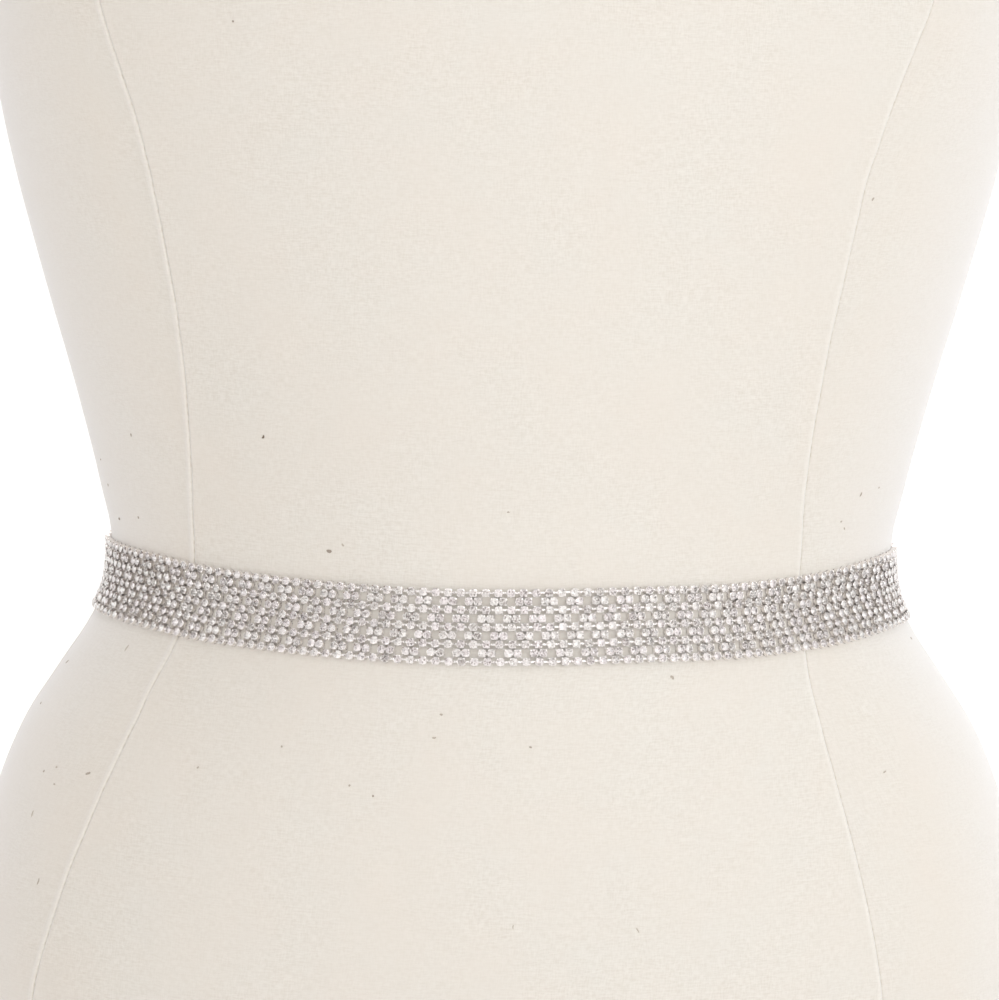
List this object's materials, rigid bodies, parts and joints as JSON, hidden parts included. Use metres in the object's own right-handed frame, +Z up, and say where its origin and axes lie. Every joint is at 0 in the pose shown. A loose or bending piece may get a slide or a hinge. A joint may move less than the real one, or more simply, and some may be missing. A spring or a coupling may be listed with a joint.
{
  "type": "bridal sash on a dress form",
  "caption": "Narrow bridal sash of linked crystal cups in close rows, fastened round the waist of a limbless, linen-covered countertop dress form.",
  "frame": {"origin": "on the floor under the middle of the whole object", "axes": "+Z up, -Y out of the front of the form, +X to the wearer's left"},
  "size_m": [0.345, 0.244, 0.7031],
  "materials": {
    "crystal": "foil-backed clear crystals in silver-plated cups",
    "silver": "polished silver plate",
    "linen": "plain-woven ivory linen canvas",
    "board": "smooth, clear-varnished beech"
  },
  "bodies": {
    "root": {"crystal_band": "crystal", "end_bar_eye_side": "silver", "end_bar_hook_side": "silver", "clasp_eye": "silver", "clasp_hook": "silver", "form_body": "linen", "form_neck": "linen", "form_base": "board", "form_neck_cap": "board"}
  },
  "joints": []
}
